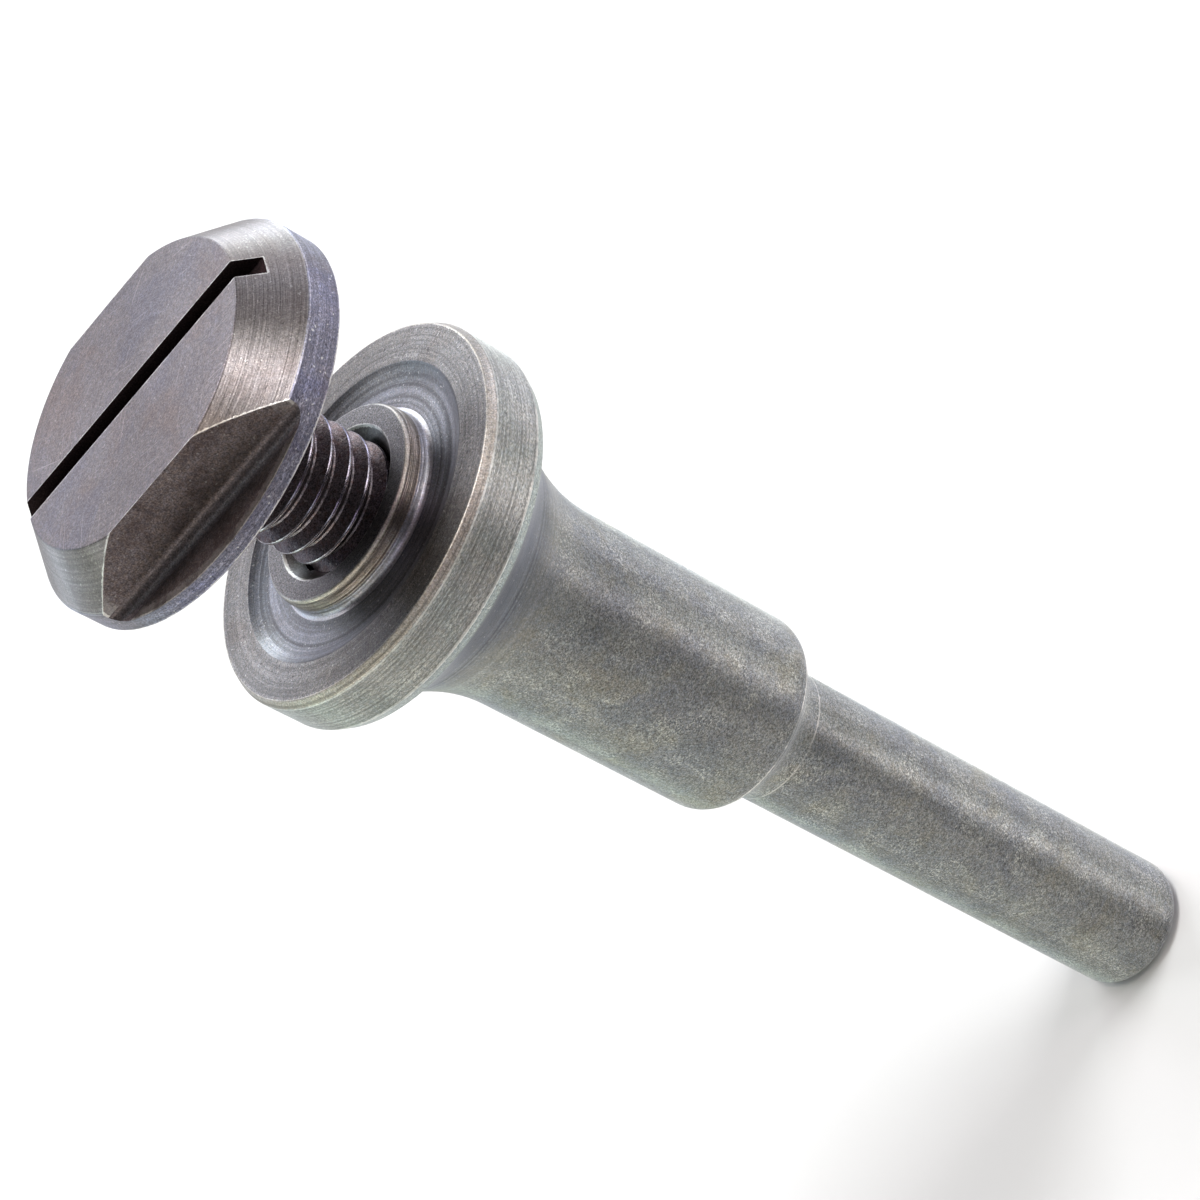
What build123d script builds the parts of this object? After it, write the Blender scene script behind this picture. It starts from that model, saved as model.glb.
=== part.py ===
from build123d import *
import os
from math import sqrt, cos, sin, radians, pi

# Mandrel for a thin abrasive wheel: a turned arbor with a flange, and the
# headed screw that clamps the wheel against it.  Millimetres, axis along +Z,
# shank end at z = 0, screw head uppermost.

# ---- arbor ----
shank_d = 6.35            # 1/4 inch shank
shank_end_round = 0.95
body_d = 9.525            # 3/8 inch body
neck_line = 24.29         # where the shank's neck fillet starts
neck_fillet = 2.5
body_rear_round = 1.3
body_rear = 26.04
flare_start = 38.92       # the body starts to widen here
flare_mid_z = 43.67
flare_mid_r = 6.094
bevel_rear_z = 45.98
bevel_rear_r = 8.70
bevel_front_z = 46.54
flange_d = 18.0
flange_edge_z = 48.76     # start of the flange's front chamfer
flange_face_z = 49.14
flange_face_r = 8.79
recess_r = 7.03
recess_floor_r = 6.2
recess_depth = 0.35
boss_d = 9.44             # locates a wheel with a 3/8 inch hole
boss_face_z = 50.0
boss_chamfer = 0.16
boss_root = 0.2
csk_r = 3.62              # countersink at the mouth of the hole
hole_d = 6.04             # plain hole that stands for the M6 x 1 thread
hole_depth = 17.0
drill_point = 1.81

# ---- clamp screw ----
gap = 7.03                # boss face to the head's underside, as shown
head_d = 18.0
rim_t = 1.63
rim_front_r = 8.95
edge_break = 0.08
head_t = 3.81
face_r = 7.05
flat_half = 6.48          # half of the width across the two wrench flats
ledge_h = 0.79            # rim left under the wrench flats
flat_fillet = 0.6
flat_angle = -115.7       # where the near flat faces, degrees from +X
slot_w = 1.14
slot_depth = 1.0
stud_d = 5.94
stud_len = 16.0
stud_tip = 0.6
stud_root = 0.3

shank_r, body_r, flange_r = shank_d / 2, body_d / 2, flange_d / 2
boss_r, hole_r, head_r, stud_r = boss_d / 2, hole_d / 2, head_d / 2, stud_d / 2


def meet(c1, r1, c2, r2):
    """Both points where two circles cross."""
    dx, dy = c2[0] - c1[0], c2[1] - c1[1]
    d = sqrt(dx * dx + dy * dy)
    a = (r1 * r1 - r2 * r2 + d * d) / (2 * d)
    h = sqrt(r1 * r1 - a * a)
    mx, my = c1[0] + a * dx / d, c1[1] + a * dy / d
    return (mx + h * dy / d, my - h * dx / d), (mx - h * dy / d, my + h * dx / d)


def arc_mid(c, p, q):
    """Point halfway along the short arc from p to q about c."""
    r = sqrt((p[0] - c[0]) ** 2 + (p[1] - c[1]) ** 2)
    mx, my = (p[0] + q[0]) / 2 - c[0], (p[1] + q[1]) / 2 - c[1]
    m = sqrt(mx * mx + my * my)
    return (c[0] + mx / m * r, c[1] + my / m * r)


def make_arbor():
    q = 1 - sqrt(0.5)
    # neck: concave fillet off the shank meets the body's rounded rear edge
    cn = (shank_r + neck_fillet, neck_line)
    cb = (body_r - body_rear_round, body_rear + body_rear_round)
    both = meet(cn, neck_fillet, cb, body_rear_round)
    m = max(both, key=lambda p: p[0] - p[1])
    floor_z = flange_face_z - recess_depth
    slope = 2 * (flare_mid_r - body_r) / (flare_mid_z - flare_start)
    prof = []
    prof.append(Line((0, 0), (shank_r - shank_end_round, 0)))
    p = (shank_r, shank_end_round)
    prof.append(ThreePointArc((shank_r - shank_end_round, 0),
                              (shank_r - q * shank_end_round, q * shank_end_round), p))
    prof.append(Line(p, (shank_r, neck_line)))
    prof.append(ThreePointArc((shank_r, neck_line), arc_mid(cn, (shank_r, neck_line), m), m))
    p = (body_r, body_rear + body_rear_round)
    prof.append(ThreePointArc(m, arc_mid(cb, m, p), p))
    prof.append(Line(p, (body_r, flare_start)))
    prof.append(Bezier((body_r, flare_start), (body_r, (flare_start + flare_mid_z) / 2),
                       (flare_mid_r, flare_mid_z)))
    prof.append(TangentArc((flare_mid_r, flare_mid_z), (bevel_rear_r, bevel_rear_z),
                           tangent=(slope, 1)))
    prof.append(Line((bevel_rear_r, bevel_rear_z), (flange_r, bevel_front_z)))
    prof.append(Line((flange_r, bevel_front_z), (flange_r, flange_edge_z)))
    prof.append(Line((flange_r, flange_edge_z), (flange_face_r, flange_face_z)))
    prof.append(Line((flange_face_r, flange_face_z), (recess_r, flange_face_z)))
    prof.append(TangentArc((recess_floor_r, floor_z), (recess_r, flange_face_z), tangent=(1, 0)))
    prof.append(Line((recess_floor_r, floor_z), (boss_r + boss_root, floor_z)))
    prof.append(ThreePointArc((boss_r + boss_root, floor_z),
                              (boss_r + q * boss_root, floor_z + q * boss_root),
                              (boss_r, floor_z + boss_root)))
    prof.append(Line((boss_r, floor_z + boss_root), (boss_r, boss_face_z - boss_chamfer)))
    prof.append(Line((boss_r, boss_face_z - boss_chamfer), (boss_r - boss_chamfer, boss_face_z)))
    prof.append(Line((boss_r - boss_chamfer, boss_face_z), (csk_r, boss_face_z)))
    csk_z = boss_face_z - (csk_r - hole_r)
    prof.append(Line((csk_r, boss_face_z), (hole_r, csk_z)))
    bottom = boss_face_z - hole_depth
    prof.append(Line((hole_r, csk_z), (hole_r, bottom)))
    prof.append(Line((hole_r, bottom), (0, bottom - drill_point)))
    prof.append(Line((0, bottom - drill_point), (0, 0)))
    sk = make_face(Wire(prof).edges())
    return revolve(Plane.XZ * sk, axis=Axis.Z)


def make_screw():
    under = boss_face_z + gap
    face = under + head_t
    tip = under - stud_len
    q = 1 - sqrt(0.5)
    prof = [
        Line((0, tip), (stud_r - stud_tip, tip)),
        Line((stud_r - stud_tip, tip), (stud_r, tip + stud_tip)),
        Line((stud_r, tip + stud_tip), (stud_r, under - stud_root)),
        ThreePointArc((stud_r, under - stud_root),
                      (stud_r + q * stud_root, under - q * stud_root),
                      (stud_r + stud_root, under)),
        Line((stud_r + stud_root, under), (head_r - edge_break, under)),
        Line((head_r - edge_break, under), (head_r, under + edge_break)),
        Line((head_r, under + edge_break), (head_r, under + rim_t - 0.05)),
        Line((head_r, under + rim_t - 0.05), (rim_front_r, under + rim_t)),
        Line((rim_front_r, under + rim_t), (face_r, face)),
        Line((face_r, face), (0, face)),
        Line((0, face), (0, tip)),
    ]
    screw = revolve(Plane.XZ * make_face(Wire(prof).edges()), axis=Axis.Z)
    turn = Rotation(0, 0, flat_angle)
    # a wrench cut: a wall along the axis, a small fillet and a ledge
    x0, x1, z0, z1 = flat_half, head_r + 2, under + ledge_h, face + 1
    f = flat_fillet
    cut = [
        Line((x0, z1), (x0, z0 + f)),
        ThreePointArc((x0, z0 + f), (x0 + q * f, z0 + q * f), (x0 + f, z0)),
        Line((x0 + f, z0), (x1, z0)),
        Line((x1, z0), (x1, z1)),
        Line((x1, z1), (x0, z1)),
    ]
    face_cut = Plane.XZ * make_face(Wire(cut).edges())
    block = extrude(face_cut, amount=head_r + 2, both=True)
    for k in (0, 180):
        screw -= turn * Rotation(0, 0, k) * block
    slot = Pos(0, 0, face - slot_depth / 2 + 0.5) * Box(slot_w, 3 * head_r, slot_depth + 1)
    screw -= turn * slot
    return screw


def single(shape):
    s = shape.solids()
    assert len(s) == 1, len(s)
    return s[0]


arbor = single(make_arbor())
screw = single(make_screw())
os.makedirs("parts", exist_ok=True)
export_step(arbor, "parts/arbor.step")
export_step(screw, "parts/clamp_screw.step")
for n, s in (("arbor", arbor), ("clamp_screw", screw)):
    b = s.bounding_box()
    print(n, round(s.volume, 2), [round(v, 3) for v in (b.min.X, b.min.Y, b.min.Z, b.max.X, b.max.Y, b.max.Z)])
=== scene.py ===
import bpy, bmesh, math
from mathutils import Matrix, Vector


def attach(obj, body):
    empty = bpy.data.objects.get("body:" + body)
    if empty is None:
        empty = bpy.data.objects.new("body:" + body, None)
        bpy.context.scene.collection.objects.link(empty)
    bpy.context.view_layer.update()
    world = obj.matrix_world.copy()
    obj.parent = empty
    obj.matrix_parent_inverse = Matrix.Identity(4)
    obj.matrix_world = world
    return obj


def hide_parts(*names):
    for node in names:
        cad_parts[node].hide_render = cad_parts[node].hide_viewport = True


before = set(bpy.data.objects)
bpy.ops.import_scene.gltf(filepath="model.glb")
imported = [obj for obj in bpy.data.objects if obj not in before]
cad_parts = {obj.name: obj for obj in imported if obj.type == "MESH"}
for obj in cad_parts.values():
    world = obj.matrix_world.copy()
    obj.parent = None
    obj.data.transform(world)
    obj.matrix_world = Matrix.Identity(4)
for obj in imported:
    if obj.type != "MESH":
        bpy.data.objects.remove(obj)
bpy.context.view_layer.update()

MM = 0.001
scene = bpy.context.scene


# ------------------------------------------------------------ materials
class Nodes:
    """Small helper that writes a node tree."""

    def __init__(self, name):
        self.mat = bpy.data.materials.new(name)
        self.mat.use_nodes = True
        self.t = self.mat.node_tree
        self.t.nodes.clear()
        self.out = self.t.nodes.new("ShaderNodeOutputMaterial")
        self.bsdf = self.t.nodes.new("ShaderNodeBsdfPrincipled")
        self.t.links.new(self.bsdf.outputs[0], self.out.inputs[0])
        self.co = self.t.nodes.new("ShaderNodeTexCoord").outputs["Object"]

    def link(self, a, b):
        self.t.links.new(a, b)

    def sock(self, s, v):
        if isinstance(v, bpy.types.NodeSocket):
            self.link(v, s)
        elif hasattr(s.default_value, "__len__") and not hasattr(v, "__len__"):
            s.default_value = [v] * len(s.default_value)
        elif hasattr(v, "__len__") and len(v) == 3 and len(s.default_value) == 4:
            s.default_value = (*v, 1)
        else:
            s.default_value = v

    def math(self, op, a, b=0.0, c=None, clamp=False):
        n = self.t.nodes.new("ShaderNodeMath")
        n.operation = op
        n.use_clamp = clamp
        self.sock(n.inputs[0], a)
        self.sock(n.inputs[1], b)
        if c is not None:
            self.sock(n.inputs[2], c)
        return n.outputs[0]

    def xyz(self, v=None):
        n = self.t.nodes.new("ShaderNodeSeparateXYZ")
        self.link(v or self.co, n.inputs[0])
        return n.outputs

    def join(self, x, y, z):
        n = self.t.nodes.new("ShaderNodeCombineXYZ")
        for s, v in zip(n.inputs, (x, y, z)):
            self.sock(s, v)
        return n.outputs[0]

    def noise(self, vec, scale, detail=3.0, rough=0.55, dist=0.0):
        n = self.t.nodes.new("ShaderNodeTexNoise")
        self.link(vec, n.inputs["Vector"])
        n.inputs["Scale"].default_value = scale
        n.inputs["Detail"].default_value = detail
        n.inputs["Roughness"].default_value = rough
        n.inputs["Distortion"].default_value = dist
        return n.outputs["Fac"]

    def ramp(self, fac, stops, mode="LINEAR"):
        n = self.t.nodes.new("ShaderNodeValToRGB")
        n.color_ramp.interpolation = mode
        e = n.color_ramp.elements
        while len(e) < len(stops):
            e.new(0.5)
        for el, (p, c) in zip(e, stops):
            el.position = p
            el.color = (*c, 1) if hasattr(c, "__len__") else (c, c, c, 1)
        self.link(fac, n.inputs[0])
        return n.outputs["Color"]

    def mix(self, fac, a, b, kind="MIX"):
        n = self.t.nodes.new("ShaderNodeMix")
        n.data_type = "RGBA"
        n.blend_type = kind
        self.sock(n.inputs[0], fac)
        self.sock(n.inputs[6], a)
        self.sock(n.inputs[7], b)
        return n.outputs[2]

    def smooth(self, x, lo, hi):
        n = self.t.nodes.new("ShaderNodeMapRange")
        n.interpolation_type = "SMOOTHSTEP"
        self.sock(n.inputs["Value"], x)
        n.inputs["From Min"].default_value = lo
        n.inputs["From Max"].default_value = hi
        return n.outputs["Result"]

    def bump(self, height, strength, dist, normal=None):
        n = self.t.nodes.new("ShaderNodeBump")
        n.inputs["Strength"].default_value = strength
        n.inputs["Distance"].default_value = dist
        self.link(height, n.inputs["Height"])
        if normal is not None:
            self.link(normal, n.inputs["Normal"])
        return n.outputs[0]


def polar(m):
    """Object coordinates in metres, the radius, and the direction round the axis as a circle of radius 1 mm."""
    x, y, z = m.xyz()
    r = m.math("SQRT", m.math("ADD", m.math("MULTIPLY", x, x), m.math("MULTIPLY", y, y)))
    inv = m.math("DIVIDE", 0.001, m.math("MAXIMUM", r, 1e-5))
    return x, y, z, r, m.math("MULTIPLY", x, inv), m.math("MULTIPLY", y, inv)


CUT_ANGLE, FLAT, SLOT = math.radians(-115.7), 6.48, 0.57     # direction of the wrench cuts, their half width, the slot's


def across(m, x, y):
    """Distance from the head's mid plane, in mm."""
    return m.math("ABSOLUTE", m.math("ADD", m.math("MULTIPLY", x, 1000 * math.cos(CUT_ANGLE)), m.math("MULTIPLY", y, 1000 * math.sin(CUT_ANGLE))))


def from_radius(r0):
    return lambda m, x, y, z, r: m.math("ABSOLUTE", m.math("MULTIPLY_ADD", r, 1000.0, -r0))


def from_height(z0):
    return lambda m, x, y, z, r: m.math("ABSOLUTE", m.math("MULTIPLY_ADD", z, 1000.0, -z0))


def from_cut(m, x, y, z, r):
    return m.math("ABSOLUTE", m.math("SUBTRACT", across(m, x, y), FLAT))


def from_slot(m, x, y, z, r):
    """Distance from the slot's outline; its floor comes out of the cone at z = 59.84."""
    u = m.math("SUBTRACT", across(m, x, y), SLOT)
    d = m.math("MULTIPLY_ADD", z, -1000.0, 59.84)
    return m.math("MINIMUM", m.math("MAXIMUM", m.math("ABSOLUTE", u), d), m.math("MAXIMUM", m.math("ABSOLUTE", d), u))


def from_cone(m, x, y, z, r):
    """Distance inside the head's cone, for the edges that cuts leave in it."""
    top = m.math("MULTIPLY_ADD", z, -1000 * 1.9 / 2.18, 8.95 + 58.66 * 1.9 / 2.18)
    return m.math("ABSOLUTE", m.math("SUBTRACT", top, m.math("MULTIPLY", r, 1000.0)))


def steel(name, base, rough, contrast=0.5, fine_w=0.6, line=0.4, cloud=(), specks=0.4, pits=0.5, aniso=0.0,
          bump_grain=0.5, bump_line=0.4, zones=(), along="slant", rough_var=0.1, coarse=1.0, warm=0.0, flecks=0.0, edges=(), stretch=1.0, chroma=0.25, calm=None,
          rings=0.0, ring_zone=None, scratches=0.0, polish=None):
    """Turned steel. contrast: how far the grain swings; line: strength of the circumferential tool lines;
    cloud: ((colour, amount, scale, low, high), ...) oxide clouding; zones: ((colour, amount, low z, high z, ease), ...)
    bands along the axis, in mm, one of them partly painted shade; warm: how much of the grain is rusty; edges:
    ((distance, width, amount), ...)
    light bands, mostly bare worn edges, some of them painted highlights and painted light; stretch: how far the grain
    is drawn round the axis;
    calm: (low z, high z, amount) where the grain fades; rings: broad tool rings, only above ring_zone (low z, high z)
    if given;
    scratches: long fine ones in two directions; polish: (low z, high z, ease, change of roughness)."""
    m = Nodes(name)
    x, y, z, r, cx, cy = polar(m)
    if along == "z":
        s = z
    elif along == "r":
        s = r
    elif along == "cone":
        s = m.math("SUBTRACT", z, m.math("MULTIPLY", r, 0.9))
    else:
        s = m.math("ADD", z, m.math("MULTIPLY", r, 0.9))
    lines = m.noise(m.join(cx, cy, m.math("MULTIPLY", s, 30.0)), 260.0, 3, 0.7)
    dash = m.noise(m.join(m.math("MULTIPLY", cx, 6.0), m.math("MULTIPLY", cy, 6.0), m.math("MULTIPLY", s, 26.0)), 420.0, 3, 0.75)
    brushed = m.join(x, y, m.math("MULTIPLY", z, stretch))
    fine = m.noise(brushed, 15000.0 * coarse / stretch ** 0.5, 1, 0.5)
    mid = m.noise(brushed, 5200.0 * coarse / stretch ** 0.5, 3, 0.75, 0.35)
    big = m.noise(m.co, 330.0, 3, 0.6, 0.4)
    g = m.math("ADD", m.math("MULTIPLY", mid, 1 - fine_w), m.math("MULTIPLY", fine, fine_w))
    if calm:
        g = m.math("ADD", g, m.math("MULTIPLY", m.math("SUBTRACT", 0.5, g), m.math("MULTIPLY", m.smooth(z, calm[0] * MM, calm[1] * MM), calm[2])))
    lo = tuple(max(0.004, v * (1 - 0.8 * contrast)) for v in base)
    hi = tuple(min(0.95, v * (1 + 1.15 * contrast)) for v in base)
    col = m.ramp(g, [(0.34, lo), (0.5, base), (0.66, hi)])
    if chroma:
        hue = m.noise(m.co, 6500.0, 1, 0.5)
        col = m.mix(chroma, col, m.ramp(hue, [(0.36, (1.10, 1.0, 0.86)), (0.5, (1.0, 1.0, 1.0)), (0.64, (0.88, 1.0, 1.16))]), "MULTIPLY")
    if rings:
        rg0 = m.noise(m.join(m.math("MULTIPLY", cx, 0.5), m.math("MULTIPLY", cy, 0.5), m.math("MULTIPLY", s, 9.0)), 260.0, 2, 0.6)
        if ring_zone:
            rings = m.math("MULTIPLY", m.smooth(z, ring_zone[0] * MM, ring_zone[1] * MM), rings)
        col = m.mix(rings, col, m.ramp(rg0, [(0.36, (0.35, 0.34, 0.34)), (0.5, (1.0, 1.0, 1.0)), (0.64, (1.5, 1.5, 1.55))]), "MULTIPLY")
    for c, amt, scale, c0, c1 in cloud:
        f = m.noise(m.co, scale, 4, 0.65, 0.5)
        col = m.mix(m.math("MULTIPLY", m.smooth(f, c0, c1), amt), col, c, "MULTIPLY")
    for c, amt, z0, z1, e in zones:
        f = m.math("MULTIPLY", m.smooth(z, (z0 - e) * MM, (z0 + e) * MM), m.smooth(z, (z1 + e) * MM, (z1 - e) * MM))
        col = m.mix(m.math("MULTIPLY", f, amt), col, c)
    if line:
        col = m.mix(m.math("MULTIPLY", m.smooth(lines, 0.38, 0.66), line), col, tuple(v * 0.35 for v in base))
        col = m.mix(m.math("MULTIPLY", m.smooth(dash, 0.62, 0.76), line * 0.9), col, hi)
    if warm:
        wn = m.noise(m.co, 4200.0, 2, 0.6)
        col = m.mix(m.math("MULTIPLY", m.smooth(wn, 0.52, 0.66), warm), col, (0.15, 0.075, 0.055))
    if pits:
        pit = m.noise(m.co, 4200.0, 1, 0.4)
        col = m.mix(m.math("MULTIPLY", m.smooth(pit, 0.70, 0.78), pits), col, tuple(v * 0.15 for v in base))
    if specks:
        spk = m.noise(m.co, 6800.0, 1, 0.3)
        col = m.mix(m.math("MULTIPLY", m.smooth(spk, 0.71, 0.78), specks), col, (0.80, 0.79, 0.76))
    if flecks:
        fl = m.smooth(m.noise(brushed, 11000.0 * coarse / stretch ** 0.5, 2, 0.6), 0.545, 0.65)
        fc = m.smooth(m.noise(m.co, 640.0, 4, 0.65, 0.6), 0.46, 0.62)
        if calm:
            fl = m.math("MULTIPLY", fl, m.smooth(z, (calm[1] + 1.2) * MM, (calm[0] + 1.0) * MM))
        col = m.mix(m.math("MULTIPLY", m.math("MULTIPLY", fl, m.math("MULTIPLY_ADD", fc, 0.88, 0.12)), flecks), col,
                    tuple(min(0.95, v * 2.0 + w) for v, w in zip(base, (0.11, 0.105, 0.075))))
    if scratches:
        for t, shift in ((0.6, 0.0), (2.3, 3.0)):
            u = m.math("MULTIPLY_ADD", x, math.cos(t), m.math("MULTIPLY", y, math.sin(t)))
            v = m.math("MULTIPLY_ADD", x, -math.sin(t), m.math("MULTIPLY", y, math.cos(t)))
            v = m.math("MULTIPLY_ADD", m.math("MULTIPLY", u, u), 20.0, v)
            sc = m.noise(m.join(m.math("MULTIPLY", u, 260.0), m.math("MULTIPLY_ADD", v, 11000.0, shift), m.math("MULTIPLY", z, 260.0)), 1.0, 1, 0.5)
            col = m.mix(m.math("MULTIPLY", m.smooth(sc, 0.73, 0.77), scratches), col, tuple(min(0.9, v * 2.6 + 0.05) for v in base))
    if edges:
        jag = m.noise(m.co, 7000.0, 2, 0.6)
        gap = m.smooth(m.noise(m.co, 1100.0, 2, 0.6), 0.36, 0.52)
        for dist, width, amt in edges:
            d = m.math("ADD", dist(m, x, y, z, r), m.math("MULTIPLY", m.math("SUBTRACT", jag, 0.5), width * 2.2))
            f = m.math("MULTIPLY", m.smooth(d, width, width * 0.45), m.math("MULTIPLY_ADD", gap, 0.7 * amt, 0.3 * amt))
            col = m.mix(f, col, (0.86, 0.84, 0.80))
    m.link(col, m.bsdf.inputs["Base Color"])
    m.bsdf.inputs["Metallic"].default_value = 1.0
    rg = m.math("ADD", m.math("MULTIPLY", m.math("SUBTRACT", big, 0.5), rough_var), rough)
    rg = m.math("ADD", rg, m.math("MULTIPLY", m.math("SUBTRACT", mid, 0.5), rough_var), clamp=True)
    if polish:
        z0, z1, e, change = polish
        f = m.math("MULTIPLY", m.smooth(z, (z0 - e) * MM, (z0 + e) * MM), m.smooth(z, (z1 + e) * MM, (z1 - e) * MM))
        rg = m.math("MULTIPLY_ADD", f, change, rg)
    m.link(rg, m.bsdf.inputs["Roughness"])
    if aniso:
        m.bsdf.inputs["Anisotropic"].default_value = aniso
        m.bsdf.inputs["Anisotropic Rotation"].default_value = 0.25
        tn = m.t.nodes.new("ShaderNodeTangent")
        tn.direction_type = "RADIAL"
        tn.axis = "Z"
        m.link(tn.outputs[0], m.bsdf.inputs["Tangent"])
    n = m.bump(lines, bump_line, 0.00003)
    n = m.bump(dash, bump_line * 0.6, 0.00002, n)
    n = m.bump(mid, bump_grain, 0.00002, n)
    m.link(n, m.bsdf.inputs["Normal"])
    return m.mat


# SLATE_AND_SHADE is a bluish tint plus painted shade: it darkens the flare under the flange's overhang
SLATE_AND_SHADE, GOLD = (0.112, 0.126, 0.170), (0.34, 0.315, 0.25)
arbor_mat = steel("arbor_steel", (0.293, 0.299, 0.291), 0.51, aniso=0.96, contrast=0.70, line=0.12, bump_grain=0.3, bump_line=0.25,
                  cloud=(((0.72, 0.75, 0.87), 0.55, 300.0, 0.42, 0.62), ((1.0, 0.93, 0.78), 0.55, 420.0, 0.5, 0.68)),
                  # the first zone is a bluish tint and painted shade under the flange
                  polish=(43.8, 47.0, 0.6, -0.19), zones=((SLATE_AND_SHADE, 0.80, 43.5, 48.0, 1.5), (GOLD, 0.12, 42.0, 43.0, 0.5)), rings=0.6, ring_zone=(41.0, 43.5),
                  specks=0.3, pits=0.4, flecks=0.9, stretch=1.3, calm=(39.5, 43.0, 0.5),
                  # the two light rings at heights 26.66 and 24.5, on the neck's fillet and the body's rear rounding,
                  # are painted highlights, not worn edges
                  edges=((from_height(26.66), 0.07, 0.8), (from_height(24.5), 0.06, 0.5)))
side_mat = steel("arbor_side", (0.388, 0.387, 0.374), 0.49, aniso=0.94, contrast=0.6, line=0.7, bump_grain=0.3, bump_line=0.7, along="z",
                 cloud=(((0.80, 0.88, 0.88), 0.6, 300.0, 0.42, 0.62),), specks=0.4, pits=0.5, flecks=0.5, stretch=3.0,
                 edges=((from_height(48.72), 0.05, 0.45), (from_height(46.56), 0.06, 0.4)))
bevel_mat = steel("arbor_bevel", (0.355, 0.394, 0.381), 0.40, contrast=0.5, line=0.35, bump_grain=0.4, bump_line=0.4, specks=0.5, flecks=0.4,
                  edges=((from_height(46.52), 0.07, 0.6),))
face_mat = steel("arbor_face", (0.165, 0.158, 0.156), 0.44, contrast=0.75, line=0.5, along="r", aniso=0.7, bump_grain=0.4, bump_line=0.55,
                 cloud=(((0.75, 0.68, 0.62), 0.6, 260.0, 0.48, 0.66),), specks=0.35, pits=0.7, flecks=0.35, rings=0.25,
                 edges=((from_radius(8.76), 0.045, 0.5),))
recess_mat = steel("arbor_recess", (0.150, 0.152, 0.168), 0.42, contrast=0.5, line=0.5, along="r", aniso=0.7, bump_grain=0.3, bump_line=0.7,
                   cloud=(((0.7, 0.64, 0.6), 0.5, 260.0, 0.48, 0.66),), specks=0.3, pits=0.5, flecks=0.2, rings=0.8)
# arbor_root: a barer finish than the recess, made lighter still as a painted highlight on the boss's root fillet
root_mat = steel("arbor_root", (0.500, 0.485, 0.530), 0.37, contrast=0.4, line=0.5, along="cone", aniso=0.6, bump_grain=0.3, bump_line=0.8, specks=0.3, rings=0.5)
boss_mat = steel("arbor_boss", (0.130, 0.124, 0.127), 0.44, contrast=0.9, line=0.12, along="r", aniso=0.2, bump_grain=0.6, bump_line=0.15, specks=0.3, pits=0.9,
                 edges=((from_radius(3.62), 0.05, 0.45), (from_radius(4.55), 0.05, 0.2)))
edge_mat = steel("arbor_edge", (0.340, 0.312, 0.284), 0.42, contrast=0.5, line=0.7, along="cone", bump_grain=0.5, bump_line=0.9, specks=0.4, flecks=0.15)
lip_mat = steel("arbor_boss_edge", (0.47, 0.42, 0.38), 0.38, contrast=0.5, line=0.6, along="cone", bump_grain=0.4, bump_line=0.8, specks=0.4)
wall_mat = steel("arbor_boss_side", (0.31, 0.265, 0.24), 0.36, contrast=0.5, line=0.9, along="z", aniso=0.6, bump_grain=0.3, bump_line=1.0, specks=0.3, rings=0.4)
csk_mat = steel("arbor_countersink", (0.125, 0.119, 0.119), 0.40, contrast=0.6, line=0.6, along="cone", bump_grain=0.4, bump_line=0.8, specks=0.4, rings=0.3,
                edges=((from_radius(3.57), 0.05, 0.5),))
# hole_shade_mat: near-black with little grazing reflection, painted shade down the tapped hole
hole_shade_mat = steel("arbor_hole", (0.030, 0.026, 0.026), 0.55, contrast=0.6, line=0.0, bump_grain=0.5, bump_line=0.1, specks=0.1, pits=0.2)
screw_mat = steel("screw_face", (0.116, 0.103, 0.108), 0.42, contrast=0.5, line=0.15, along="r", aniso=0.3, bump_grain=0.3, bump_line=0.25, rings=0.12,
                  cloud=(((0.75, 0.82, 1.0), 0.5, 240.0, 0.45, 0.62), ((1.0, 0.86, 0.76), 0.5, 300.0, 0.52, 0.68)), specks=0.12, pits=0.3, rough_var=0.08,
                  scratches=0.35, edges=((from_slot, 0.06, 0.3), (from_cut, 0.06, 0.3)))
cone_mat = steel("screw_cone", (0.208, 0.189, 0.186), 0.40, contrast=0.40, line=0.5, along="cone", aniso=0.85, bump_grain=0.25, bump_line=0.7, chroma=0.1,
                 cloud=(((0.74, 0.66, 0.62), 0.5, 300.0, 0.45, 0.62),), specks=0.3, pits=0.5, rough_var=0.08, flecks=0.3,
                 rings=0.15, edges=((from_cut, 0.06, 0.6), (from_slot, 0.07, 0.5), (from_radius(8.93), 0.03, 0.15)))
rim_mat = steel("screw_rim", (0.204, 0.201, 0.258), 0.46, stretch=2.0, contrast=0.8, line=0.65, along="z", aniso=0.8, bump_grain=0.3, bump_line=0.8,
                cloud=(((0.9, 0.78, 0.68), 0.7, 260.0, 0.48, 0.66), ((0.68, 0.72, 0.95), 0.5, 380.0, 0.46, 0.60)), specks=0.5, pits=0.6, flecks=0.5,
                edges=((from_height(58.62), 0.03, 0.2), (from_height(57.10), 0.06, 0.6)))
cut_mat = steel("screw_wrench_cut", (0.108, 0.088, 0.088), 0.39, contrast=0.65, line=0.0, bump_grain=0.5, bump_line=0.1, chroma=0.4,
                cloud=(((0.5, 0.45, 0.45), 0.6, 420.0, 0.45, 0.62),), specks=0.15, pits=0.3, flecks=0.15,
                # the broad faint band at radius 8.75 is partly wear and partly painted light, lighter toward the
                # ledge's outer border
                edges=((from_cone, 0.04, 0.35), (from_radius(8.96), 0.06, 0.5), (from_radius(8.75), 0.3, 0.12)))
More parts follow.
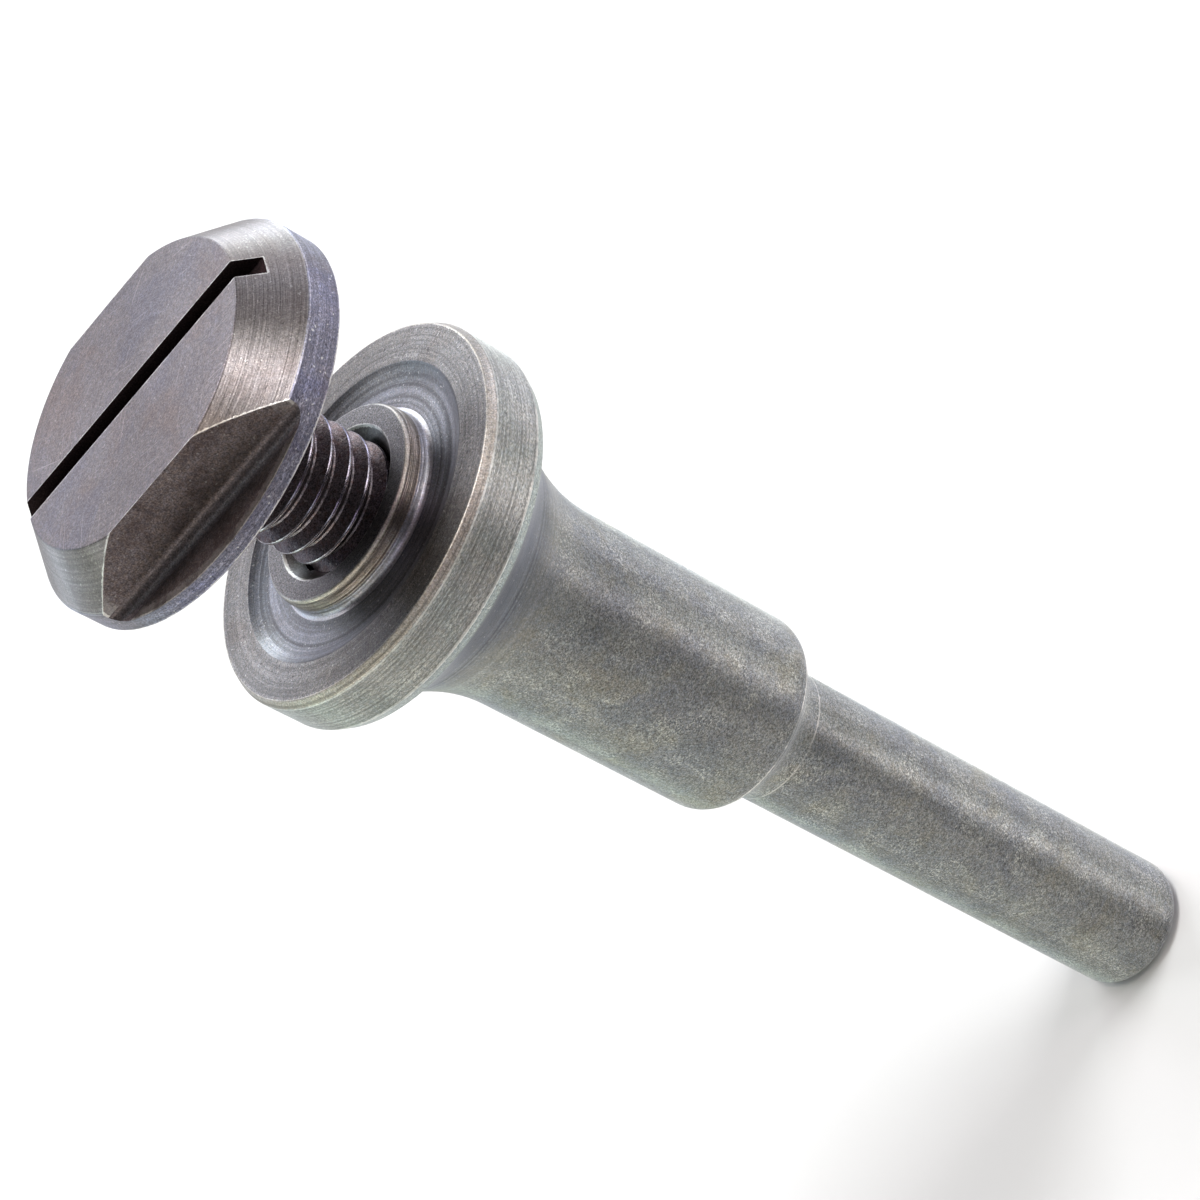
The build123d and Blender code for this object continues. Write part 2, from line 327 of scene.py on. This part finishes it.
# fillet_shade_mat: a darker copy of the wrench cut's steel on the cut's crease fillet, painted shade in the crease
fillet_shade_mat = steel("screw_cut_fillet", (0.080, 0.066, 0.070), 0.46, contrast=0.6, line=0.0, bump_grain=0.4, bump_line=0.1, specks=0.1, pits=0.2)
burr_mat = steel("screw_edge", (0.320, 0.316, 0.285), 0.36, contrast=0.6, line=0.2, bump_grain=0.5, bump_line=0.3, specks=0.5)
# slot_shade_mat: near-black and rough, painted shade in the slot
slot_shade_mat = steel("screw_slot", (0.029, 0.020, 0.021), 0.65, contrast=0.5, line=0.05, bump_grain=0.5, bump_line=0.1, specks=0.0, pits=0.2)
thread_mat = steel("screw_thread", (0.121, 0.106, 0.116), 0.40, contrast=0.95, line=0.0, bump_grain=0.7, bump_line=0.1, warm=0.3, specks=0.3, pits=0.3)
crest_mat = steel("screw_crest", (0.220, 0.201, 0.243), 0.26, contrast=0.4, line=0.05, bump_grain=0.3, bump_line=0.1, specks=0.2)
# the low Specular Tint on the slot and the hole is part of their painted shade
for mt, c in ((slot_shade_mat, (0.10, 0.09, 0.09)), (thread_mat, (0.45, 0.40, 0.40)), (hole_shade_mat, (0.15, 0.14, 0.14))):
    mt.node_tree.nodes["Principled BSDF"].inputs["Specular Tint"].default_value = (*c, 1)

for mt, w in ((arbor_mat, 0.3), (side_mat, 0.18)):
    mt.node_tree.nodes["Principled BSDF"].inputs["Sheen Weight"].default_value = w
    mt.node_tree.nodes["Principled BSDF"].inputs["Sheen Roughness"].default_value = 0.3

# ------------------------------------------------------------ shapes (millimetres here, metres in the mesh)
def new_mesh(name, verts, faces, mat, smooth_deg=28.0):
    me = bpy.data.meshes.new(name)
    me.from_pydata([(v[0] * MM, v[1] * MM, v[2] * MM) for v in verts], [], faces)
    me.validate()
    bm = bmesh.new()
    bm.from_mesh(me)
    bmesh.ops.remove_doubles(bm, verts=bm.verts, dist=2e-7)
    bmesh.ops.dissolve_degenerate(bm, edges=bm.edges, dist=1e-7)
    bmesh.ops.recalc_face_normals(bm, faces=bm.faces)
    for f in bm.faces:
        f.smooth = True
    lim = math.radians(smooth_deg)
    for e in bm.edges:
        if len(e.link_faces) == 2 and e.calc_face_angle(0) > lim:
            e.smooth = False
    bm.to_mesh(me)
    bm.free()
    me.materials.append(mat)
    o = bpy.data.objects.new(name, me)
    scene.collection.objects.link(o)
    return o


def arc(cr, cz, rad, a0, a1, n):
    return [(cr + rad * math.cos(math.radians(a0 + (a1 - a0) * i / n)),
             cz + rad * math.sin(math.radians(a0 + (a1 - a0) * i / n))) for i in range(n + 1)]


def ease(pts, w=0.05, n=3, lim=12.0):
    """Round every sharp corner of a profile by w, so that edges catch light."""
    out = [pts[0]]
    for a, b, c in zip(pts, pts[1:], pts[2:]):
        u = Vector(b) - Vector(a)
        v = Vector(c) - Vector(b)
        if u.length < 1e-6 or v.length < 1e-6:
            continue
        if math.degrees(u.angle(v)) < lim:
            out.append(b)
            continue
        d = min(w, u.length * 0.45, v.length * 0.45)
        p, q = Vector(b) - u.normalized() * d, Vector(b) + v.normalized() * d
        for i in range(n + 1):
            t = i / n
            k = p.lerp(Vector(b), t).lerp(Vector(b).lerp(q, t), t)
            out.append((k.x, k.y))
    out.append(pts[-1])
    return out


def lathe(prof, seg, verts, faces, close=True):
    """Rings about Z for a profile of (r, z); returns each ring's first index."""
    rings = []
    for r, z in prof:
        if r < 1e-6:
            rings.append((len(verts), 1))
            verts.append((0, 0, z))
        else:
            rings.append((len(verts), seg))
            for j in range(seg):
                t = 2 * math.pi * j / seg
                verts.append((r * math.cos(t), r * math.sin(t), z))
    for (a, na), (b, nb) in zip(rings, rings[1:]):
        for j in range(seg):
            k = (j + 1) % seg
            if na == 1 and nb == 1:
                continue
            if na == 1:
                faces.append((a, b + j, b + k))
            elif nb == 1:
                faces.append((a + j, a + k, b))
            else:
                faces.append((a + j, a + k, b + k, b + j))
    return rings


def grooves(p, q, n, depth):
    """Points between p and q of a straight profile line with n fine tool grooves, cut to its left."""
    ux, uz = q[0] - p[0], q[1] - p[1]
    k = math.hypot(ux, uz)
    out = []
    for i in range(1, 2 * n):
        t = i / (2 * n) + 0.12 * math.sin(i * 5.1) / n
        d = depth * (0.7 + 0.3 * math.sin(i * 2.3 + 1)) if i % 2 else -0.0 * depth
        out.append((p[0] + ux * t - uz / k * d, p[1] + uz * t + ux / k * d))
    return out


def tooled(pts, marks):
    """Cuts tool grooves into the straight runs of a profile; marks holds (test, pitch, depth)."""
    out = [pts[0]]
    for p, q in zip(pts, pts[1:]):
        for test, pitch, depth in marks:
            k = math.hypot(q[0] - p[0], q[1] - p[1])
            if k > 4 * pitch and test((p[0] + q[0]) / 2, (p[1] + q[1]) / 2):
                out += grooves(p, q, round(k / pitch), depth)
                break
        out.append(q)
    return out


PITCH = 1.0
PHASE = 53.667                      # height of a crest at azimuth 0


def interp(x, table):
    for (x0, y0), (x1, y1) in zip(table, table[1:]):
        if x <= x1:
            return y0 + (y1 - y0) * (x - x0) / (x1 - x0)
    return table[-1][1]


def thread(z_lo, z_hi, seg, table, trim, verts, faces):
    """Helical band from z_lo to z_hi. table gives radius against the distance to a crest (0 to 0.5 pitch);
    trim(z, r) shapes the ends. Rows follow the helix, so the crest edges stay crisp."""
    us = sorted(set([u for u, _ in table] + [-u for u, _ in table if 0 < u < 0.5]))
    k0 = int(math.floor((z_lo - PHASE) / PITCH)) - 2
    k1 = int(math.ceil((z_hi - PHASE) / PITCH)) + 2
    rows = [(k, u) for k in range(k0, k1) for u in us]
    n = len(us)
    base = len(verts)
    for k, u in rows:
        for j in range(seg):
            t = 2 * math.pi * j / seg
            z = PHASE + (k + u + j / seg) * PITCH
            z = min(max(z, z_lo), z_hi)
            f = (z - PHASE) / PITCH - j / seg
            d = abs(f - round(f))
            r = trim(z, interp(d, table))
            verts.append((r * math.cos(t), r * math.sin(t), z))
    for i in range(len(rows) - 1):
        for j in range(seg):
            a, b = base + i * seg + j, base + (i + 1) * seg + j
            if j < seg - 1:
                faces.append((a, a + 1, b + 1, b))
            elif i + n + 1 < len(rows):
                faces.append((a, base + (i + n) * seg, base + (i + n + 1) * seg, b))
    return base, len(rows)


def cap_loop(verts, z, seg):
    """The ring of vertices that the clamped rows leave at height z, by azimuth."""
    best = {}
    for i, v in enumerate(verts):
        if abs(v[2] - z) < 1e-9:
            j = round(math.atan2(v[1], v[0]) / (2 * math.pi) * seg) % seg
            best.setdefault(j, i)
    return [best[j] for j in range(seg)]


def join_ring(loop, ring, faces):
    n = len(loop)
    for j in range(n):
        k = (j + 1) % n
        faces.append((loop[j], loop[k], ring + k, ring + j))


def smoothstep(x, a, b):
    t = min(max((x - a) / (b - a), 0), 1)
    return t * t * (3 - 2 * t)


SEG = 192
# arbor, from the shank end's centre up round the outside to the countersink
cn = (5.675, 24.29)
prof = [(0, 0)] + [(2.225 * i / 6, 0) for i in range(1, 6)] + arc(2.225, 0.95, 0.95, -90, 0, 10)
prof += [(3.175, 0.95 + (24.29 - 0.95) * i / 20) for i in range(1, 20)]
prof += arc(cn[0], cn[1], 2.5, 180, 133.6, 10)
prof += arc(3.4625, 27.34, 1.3, -70.5, 0, 10)
prof += [(4.7625, 27.34 + (38.92 - 27.34) * i / 10) for i in range(1, 11)]
prof += [(4.7625 + 0.0590 * (4.75 * i / 12) ** 2, 38.92 + 4.75 * i / 12) for i in range(1, 13)]
a0, a1 = math.radians(60.74), math.radians(22.36)
R0 = 2.606 / (math.sin(a0) - math.sin(a1))
for i in range(1, 13):
    a = a0 + (a1 - a0) * i / 12
    prof.append((6.094 + R0 * (math.sin(a0) - math.sin(a)), 43.67 + R0 * (math.cos(a) - math.cos(a0))))
sharp = [prof[-1], (9.0, 46.54), (9.0, 48.76), (8.79, 49.14), (7.03, 49.14)]
edge = ease([prof[-2]] + sharp + [(6.95, 49.06)], 0.05)[1:-1]
prof = prof[:-1] + edge
for i in range(10):
    t = i / 9
    prof.append((7.03 - 0.83 * t, 48.79 + 0.35 * (0.45 * (1 - t) + 0.55 * (1 - t) ** 2)))
prof.append((5.06, 48.79))
prof += arc(5.03, 49.10, 0.31, -90, -180, 8)
prof += [(4.72, 49.14), (4.71, 49.17), (4.72, 49.20), (4.72, 49.27), (4.708, 49.30), (4.72, 49.33), (4.72, 49.42)]
prof += [(4.72 - (0.013 if i % 2 else 0.0) - 0.012 * max(0, i - 5), 49.42 + 0.038 * i) for i in range(1, 11)]
prof += ease([(4.66, 49.80), (4.645, 49.88), (4.56, 50.0), (3.62, 50.0), (3.56, 49.94)], 0.04)[1:]
prof = tooled(prof, [(lambda r, z: r > 8.99, 0.13, 0.004), (lambda r, z: z > 49.13 and r > 7, 0.12, 0.005),
                     (lambda r, z: 48.7 < z < 48.8, 0.12, 0.006)])
verts, faces = [], []
rings = lathe(prof, SEG, verts, faces)
csk = 49.94
INT = [(0.0, 3.05), (0.09, 3.05), (0.16, 2.94), (0.30, 2.70), (0.42, 2.50), (0.5, 2.49)]


def trim_hole(z, r):
    return max(r, 3.56 - (csk - z)) if z > 48.9 else r


hv, hf = [], []
thread(33.0, csk, SEG // 2, INT, trim_hole, hv, hf)
hole_seg = SEG // 2
loop_top = cap_loop(hv, csk, hole_seg)
loop_bot = cap_loop(hv, 33.0, hole_seg)
base = len(verts)
verts += hv
faces += [tuple(base + i for i in f) for f in hf]
tip = len(verts)
verts.append((0, 0, 31.6))
for j in range(hole_seg):
    faces.append((base + loop_bot[j], base + loop_bot[(j + 1) % hole_seg], tip))
last = rings[-1][0]
for j in range(hole_seg):
    k = (j + 1) % hole_seg
    faces.append((last + 2 * j, last + 2 * j + 1, base + loop_top[j]))
    faces.append((last + 2 * j + 1, last + (2 * j + 2) % SEG, base + loop_top[k], base + loop_top[j]))
arbor = new_mesh("arbor_turned", verts, faces, arbor_mat)
for mt in (face_mat, edge_mat, hole_shade_mat, recess_mat, boss_mat, side_mat, bevel_mat, root_mat, lip_mat, wall_mat, csk_mat):
    arbor.data.materials.append(mt)
for p in arbor.data.polygons:
    cx, cy, cz = (v * 1000 for v in p.center)
    rr = math.hypot(cx, cy)
    if rr < 3.04 and 31 < cz < 49.4:
        k = 3                       # the tapped hole
    elif 49.3 < cz < 49.97 and rr < 3.6:
        k = 11                      # the countersink
    elif 48.795 < cz < 49.28 and rr < 5.02:
        k = 8                       # the fillet at the boss's root
    elif cz > 49.82 and 4.5 < rr < 4.8 and cz < 49.99:
        k = 9                       # the boss's eased edge
    elif 49.28 <= cz < 49.99 and 4.6 < rr < 4.8:
        k = 10                      # the boss's side
    elif cz > 49.3 and rr < 4.6:
        k = 5                       # the boss's face
    elif cz > 48.7 and 8.74 < rr:
        k = 2 if cz > 48.77 else 6  # the flange's front chamfer
    elif cz > 48.7 and rr < 7.02:
        k = 4                       # the recess
    elif cz > 49.0:
        k = 1                       # the seat ring
    elif 46.52 < cz and rr > 8.9:
        k = 6                       # the flange's side
    elif 45.96 < cz < 46.6 and rr > 8.68:
        k = 7                       # the rear bevel
    else:
        k = 0
    p.material_index = k
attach(arbor, "arbor")
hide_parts("arbor")

# clamp screw: threaded stud
UNDER, FACE = 57.03, 60.84
EXT = [(0.0, 2.955), (0.035, 2.968), (0.085, 2.94), (0.13, 2.87), (0.30, 2.60), (0.42, 2.43), (0.5, 2.40)]
TIP = UNDER - 16.0


def trim_stud(z, r):
    r = min(r, 2.33 + (z - TIP))
    w = smoothstep(z, UNDER - 1.1, UNDER - 0.45)
    return r + (2.55 - r) * w


sv, sf = [], []
TOP = UNDER - 0.3
thread(TIP, TOP, SEG, EXT, trim_stud, sv, sf)
top, bot = cap_loop(sv, TOP, SEG), cap_loop(sv, TIP, SEG)
c = len(sv)
sv.append((0, 0, TIP))
for j in range(SEG):
    sf.append((bot[j], bot[(j + 1) % SEG], c))
hp = arc(2.85, TOP, 0.3, 180, 90, 5)
hp = [(r, z) for r, z in hp]
hp += ease([(3.15, UNDER), (8.92, UNDER), (9.0, UNDER + 0.08), (9.0, UNDER + 1.58), (8.95, UNDER + 1.63),
            (7.05, FACE), (6.6, FACE)], 0.05)[1:-1]
hp = tooled(hp, [(lambda r, z: r > 8.99, 0.15, 0.005), (lambda r, z: r > 7.2 and z > UNDER + 1, 0.118, 0.011)])
hp += [(6.9 * (1 - i / 10), FACE) for i in range(1, 11)]
hv, hf = [], []
hr = lathe(hp, SEG, hv, hf)
base = len(sv)
sv += hv
sf += [tuple(base + i for i in f) for f in hf]
join_ring(top, base + hr[0][0], sf)
screw = new_mesh("clamp_screw_turned", sv, sf, screw_mat)


def cutter(name, pts, length, angle):
    """A prism along Y from (x, z) points, turned by angle about Z."""
    vs = [(x, y, z) for y in (-length / 2, length / 2) for x, z in pts]
    n = len(pts)
    fs = [tuple(range(n)), tuple(reversed(range(n, 2 * n)))]
    fs += [(i, n + i, n + (i + 1) % n, (i + 1) % n) for i in range(n)]
    o = new_mesh(name, vs, fs, screw_mat)
    o.data.transform(Matrix.Rotation(math.radians(angle), 4, "Z"))
    return o


LEDGE, FIL = UNDER + 0.79, 0.6
wall = [(FLAT, FACE + 1)] + arc(FLAT + FIL, LEDGE + FIL, FIL, 180, 270, 12) + [(11, LEDGE), (11, FACE + 1)]
cuts = [cutter("cut_a", wall, 26, -115.7), cutter("cut_b", wall, 26, 64.3),
        cutter("cut_c", [(-SLOT, FACE - 1.0), (SLOT, FACE - 1.0), (SLOT, FACE + 1), (-SLOT, FACE + 1)], 26, -115.7)]
for k in cuts:
    md = screw.modifiers.new("cut", "BOOLEAN")
    md.object = k
    md.operation = "DIFFERENCE"
    md.solver = "EXACT"
bv = screw.modifiers.new("edges", "BEVEL")
bv.width = 0.035 * MM
bv.segments = 2
bv.limit_method = "ANGLE"
bv.angle_limit = math.radians(35)
bv.use_clamp_overlap = True
bv.material = 1
screw.data.materials.append(burr_mat)
bpy.context.view_layer.update()
dg = bpy.context.evaluated_depsgraph_get()
done = bpy.data.meshes.new_from_object(screw.evaluated_get(dg))
screw.modifiers.clear()
screw.data = done
for k in cuts:
    bpy.data.objects.remove(k)
bm = bmesh.new()
bm.from_mesh(done)
done.materials.clear()
bmesh.ops.remove_doubles(bm, verts=bm.verts, dist=1e-7)
for f in bm.faces:
    f.smooth = True
for e in bm.edges:
    if len(e.link_faces) == 2:
        e.smooth = e.calc_face_angle(0) < math.radians(26)
for mt in (screw_mat, cone_mat, rim_mat, cut_mat, slot_shade_mat, thread_mat, crest_mat, burr_mat, fillet_shade_mat):
    done.materials.append(mt)
ang = math.radians(-115.7)
for f in bm.faces:
    c = f.calc_center_bounds() * 1000
    rr = math.hypot(c.x, c.y)
    u = abs(c.x * math.cos(ang) + c.y * math.sin(ang))
    nu = abs(f.normal.x * math.cos(ang) + f.normal.y * math.sin(ang))
    nt = abs(f.normal.y * math.cos(ang) - f.normal.x * math.sin(ang))
    if c.z < UNDER - 0.1:
        k = 6 if 2.945 < rr < 2.9606 else 5     # the crest's two edges, and the flanks
    elif f.material_index == 1:
        k = 7                                   # eased edges
    elif u < 0.58 and FACE - 1.02 < c.z < FACE - 0.04 and (nu > 0.9 or f.normal.z > 0.99):
        k = 4                                   # the slot
    elif FLAT - 0.02 < u and c.z > LEDGE - 0.02 and nt < 0.02 and (
            (nu > 0.97 and u < FLAT + 0.03) or (abs(c.z - LEDGE) < 0.02 and f.normal.z > 0.97)
            or (u < FLAT + FIL + 0.02 and c.z < LEDGE + FIL + 0.02 and nu < 0.999)):
        # index 8 is the crease fillet's darker material, painted shade
        k = 8 if u < FLAT + FIL - 0.02 and c.z < LEDGE + FIL - 0.02 and 0.05 < nu < 0.997 else 3    # the wrench cut and its fillet
    elif rr > 8.96:
        k = 2                                   # the rim
    elif UNDER + 0.05 < c.z < FACE - 0.03:
        k = 1                                   # the cone
    else:
        k = 0
    f.material_index = k
bm.to_mesh(done)
print("arbor tris", sum(len(p.vertices) - 2 for p in arbor.data.polygons), "screw", sum(len(p.vertices) - 2 for p in done.polygons),
      "open edges", sum(1 for e in bm.edges if len(e.link_faces) != 2))
bm.free()
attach(screw, "screw")
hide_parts("clamp_screw")

# ------------------------------------------------------------ floor, light, camera
bm = bmesh.new()
bmesh.ops.create_circle(bm, cap_ends=True, segments=96, radius=0.44)
me = bpy.data.meshes.new("floor")
bm.to_mesh(me)
bm.free()
floor = bpy.data.objects.new("floor", me)
scene.collection.objects.link(floor)
fm = bpy.data.materials.new("floor_pale")
fm.use_nodes = True
fb = fm.node_tree.nodes["Principled BSDF"]
fb.inputs["Base Color"].default_value = (0.65, 0.65, 0.65, 1)
fb.inputs["Roughness"].default_value = 0.8
fb.inputs["Specular IOR Level"].default_value = 0.1
ft = fm.node_tree                                         # the floor fades into the backdrop toward its rim
fg = ft.nodes.new("ShaderNodeTexGradient")
fg.gradient_type = "SPHERICAL"
fp = ft.nodes.new("ShaderNodeMapping")
fp.inputs["Scale"].default_value = (1 / 0.44, 1 / 0.44, 0)
fr = ft.nodes.new("ShaderNodeMapRange")
fr.interpolation_type = "SMOOTHSTEP"
fr.inputs["From Min"].default_value, fr.inputs["From Max"].default_value = 0.01, 0.25
ff, fx = ft.nodes.new("ShaderNodeBsdfTransparent"), ft.nodes.new("ShaderNodeMixShader")
ft.links.new(ft.nodes.new("ShaderNodeTexCoord").outputs["Object"], fp.inputs["Vector"])
ft.links.new(fp.outputs["Vector"], fg.inputs["Vector"])
ft.links.new(fg.outputs["Fac"], fr.inputs["Value"])
ft.links.new(fr.outputs["Result"], fx.inputs["Fac"])
ft.links.new(ff.outputs[0], fx.inputs[1])
ft.links.new(fb.outputs[0], fx.inputs[2])
ft.links.new(fx.outputs[0], ft.nodes["Material Output"].inputs["Surface"])
me.materials.append(fm)

world = bpy.data.worlds.new("studio")
scene.world = world
world.use_nodes = True
world.node_tree.nodes["Background"].inputs[0].default_value = (1, 1, 1, 1)
world.node_tree.nodes["Background"].inputs[1].default_value = 1.0
world.cycles_visibility.diffuse = world.cycles_visibility.glossy = False      # a plain white backdrop that adds no light


def area(name, loc, at, size, power, sy=None):
    li = bpy.data.lights.new(name, "AREA")
    li.energy = power
    li.shape = "RECTANGLE"
    li.size, li.size_y = size, sy or size
    o = bpy.data.objects.new(name, li)
    scene.collection.objects.link(o)
    o.location = loc
    o.rotation_euler = (Vector(at) - Vector(loc)).to_track_quat("-Z", "Y").to_euler()
    o.visible_camera = False
    return o


def lamp(name, az, el, power, size, sy=None, dist=0.45):
    """A soft box seen from the object at an azimuth and elevation."""
    a, e = math.radians(az), math.radians(el)
    at = Vector((0, 0, 0.03))
    return area(name, at + dist * Vector((math.cos(a) * math.cos(e), math.sin(a) * math.cos(e), math.sin(e))), at, size, power, sy)


# soft boxes round the object: (azimuth, elevation, power, tint)
BOXES = [(0, 6, 0.310, (1.02, 0.99, 1.05)), (20, 6, 0.285, (0.96, 1.00, 1.13)), (40, 6, 0.090, (0.87, 1.02, 1.24)),
         (60, 6, 0.271, (0.93, 1.01, 1.14)), (120, 6, 0.119, (0.90, 1.02, 1.13)), (140, 6, 0.095, (0.93, 1.03, 0.96)),
         (160, 6, 0.244, (0.86, 1.05, 0.86)), (180, 6, 0.193, (0.97, 1.02, 0.90)), (200, 6, 0.276, (1.01, 1.01, 0.91)),
         (220, 6, 0.207, (1.01, 1.01, 0.89)), (240, 6, 0.073, (1.17, 0.97, 0.81)), (260, 6, 0.033, (0.76, 1.10, 0.75)),
         (340, 6, 0.017, (1.31, 0.88, 1.29)), (40, 24, 0.047, (1.29, 0.93, 0.88)), (60, 24, 0.517, (0.95, 1.02, 0.98)),
         (80, 24, 0.181, (0.99, 0.99, 1.09)), (100, 24, 0.157, (1.01, 0.99, 1.09)), (120, 24, 0.136, (0.84, 1.03, 1.13)),
         (160, 24, 0.064, (0.99, 0.98, 1.26)), (240, 24, 0.104, (0.94, 1.02, 1.03)), (260, 24, 0.077, (1.10, 0.95, 1.22)),
         (320, 24, 0.379, (1.05, 0.99, 0.97)), (340, 24, 0.176, (0.95, 1.02, 0.96)), (0, 46, 0.009, (1.40, 0.89, 0.91)),
         (80, 46, 0.334, (0.96, 1.01, 1.06)), (120, 46, 0.329, (1.00, 1.00, 0.97)), (320, 46, 0.042, (1.30, 0.88, 1.27)),
         (0, 70, 1.547, (1.00, 1.00, 1.00)), (90, 70, 0.295, (1.17, 0.96, 0.94)), (180, 70, 0.133, (0.82, 1.05, 1.07)),
         (270, 70, 0.299, (1.13, 0.98, 0.81))]
for i, (az, el, power, tint) in enumerate(BOXES):
    lamp("box_%02d" % i, az, el, power, 0.12).data.color = tint

cam = bpy.data.cameras.new("camera")
cam.sensor_fit = "HORIZONTAL"
cam.sensor_width = 36.0
cam.lens = 123.0
cam.clip_start = 0.005
co = bpy.data.objects.new("camera", cam)
scene.collection.objects.link(co)
right = Vector((0.4758, -0.4718, -0.7424))
up = Vector((0.8797, 0.2552, 0.4015))
back = right.cross(up).normalized()
right = up.cross(back).normalized()
up = back.cross(right).normalized()
R = Matrix((right, up, back)).transposed().to_4x4()
co.matrix_world = Matrix.Translation(Vector((1.67, -152.33, 132.84)) * MM) @ R
scene.camera = co
scene.view_settings.view_transform = "Standard"
